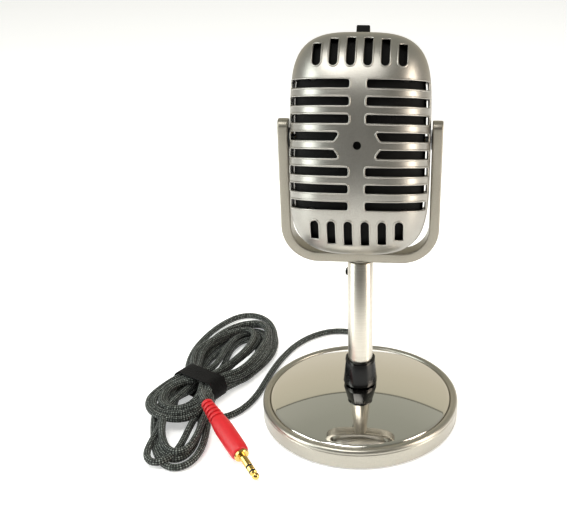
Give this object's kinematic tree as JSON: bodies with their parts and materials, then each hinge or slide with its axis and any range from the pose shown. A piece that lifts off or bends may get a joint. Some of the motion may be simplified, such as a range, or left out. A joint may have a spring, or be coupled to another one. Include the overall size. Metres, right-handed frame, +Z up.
{
  "type": "desktop microphone",
  "caption": "Desk microphone with a slotted rounded head tilting in a U yoke on a stem, a domed chrome base, and a braided cord tied in a hank that ends in a jack plug.",
  "frame": {"origin": "on the floor under the middle of the round base, measured without the cord and its plug", "axes": "+Z up, -Y the front that the grille faces, +X to the right seen from the front"},
  "size_m": [0.1595, 0.158, 0.1881],
  "materials": {
    "satin_silver": "satin metallic silver paint on a rolled steel band",
    "mirror_chrome": "mirror chrome plate on pressed steel",
    "cast_iron": "sand-cast iron",
    "black_moulding": "moulded ABS, fine texture",
    "black_gloss_moulding": "moulded ABS, gloss",
    "black_rubber": "moulded rubber",
    "black_sheath": "extruded PVC sheath",
    "zinc_steel": "zinc-plated steel",
    "satin_nickel": "satin nickel-plated tube",
    "yoke_paint": "satin metallic grey paint on a zinc casting",
    "head_paint": "satin metallic grey paint on moulded ABS",
    "black_mesh": "black woven acoustic mesh",
    "black_oxide_screw": "black-oxide steel",
    "brass": "turned brass",
    "capsule_can": "pressed tin-plated can",
    "green_board": "green solder mask on glass laminate",
    "grey_braid": "dark grey braided cord jacket",
    "hook_tape": "black hook-and-loop tape",
    "red_moulding": "red moulded soft PVC",
    "gold_contact": "gold-plated brass",
    "black_insulator": "black nylon insulator"
  },
  "bodies": {
    "base": {"base_ring": "satin_silver", "base_plate": "mirror_chrome", "base_weight": "cast_iron", "base_cover": "black_moulding", "rubber_foot_1": "black_rubber", "rubber_foot_2": "black_rubber", "rubber_foot_3": "black_rubber", "rubber_foot_4": "black_rubber", "cover_screw_1": "zinc_steel", "cover_screw_2": "zinc_steel", "cover_screw_3": "zinc_steel", "stem_socket": "zinc_steel", "socket_nut": "zinc_steel", "cord_gland": "black_rubber", "cord_clamp": "black_moulding", "base_lead": "black_sheath", "cord_lead": "grey_braid", "cord_hank": "grey_braid", "hank_tie": "hook_tape", "plug_grip": "red_moulding", "plug_sleeve": "gold_contact", "plug_insulator_1": "black_insulator", "plug_insulator_2": "black_insulator", "plug_ring_contact": "gold_contact", "plug_tip": "gold_contact"},
    "collar": {"collar_nut": "black_gloss_moulding"},
    "stem": {"stem_tube": "satin_nickel", "yoke": "yoke_paint", "yoke_screw": "black_oxide_screw", "pivot_screw_left": "zinc_steel", "pivot_screw_right": "zinc_steel", "pivot_washer_left": "black_rubber", "pivot_washer_right": "black_rubber", "stem_lead": "black_sheath"},
    "head": {"front_shell": "head_paint", "rear_shell": "head_paint", "front_liner": "black_mesh", "rear_liner": "black_mesh", "shell_screw_top_left": "zinc_steel", "shell_screw_top_right": "zinc_steel", "shell_screw_bottom_left": "zinc_steel", "shell_screw_bottom_right": "zinc_steel", "pivot_insert_left": "brass", "pivot_insert_right": "brass", "capsule": "capsule_can", "capsule_boot": "black_rubber", "capsule_bracket": "black_moulding", "circuit_board": "green_board", "switch_case": "capsule_can", "head_lead": "black_sheath"},
    "switch": {"switch_knob": "black_gloss_moulding"}
  },
  "joints": [
    {"name": "collar_turn", "type": "hinge", "parent": "base", "child": "collar", "pos_m": [0, 0, 0.0175], "axis": [0, 0, 1], "range_deg": [0, 90]},
    {"name": "stem_swivel", "type": "hinge", "parent": "base", "child": "stem", "pos_m": [0, 0, 0.0185], "axis": [0, 0, 1], "range_deg": [-170, 170]},
    {"name": "head_tilt", "type": "hinge", "parent": "stem", "child": "head", "pos_m": [0, 0, 0.1425], "axis": [-1, 0, 0], "range_deg": [-60, 45]},
    {"name": "switch_slide", "type": "slide", "parent": "head", "child": "switch", "axis": [0, 0.7414, -0.6711], "range_m": [0, 0.0024]}
  ]
}
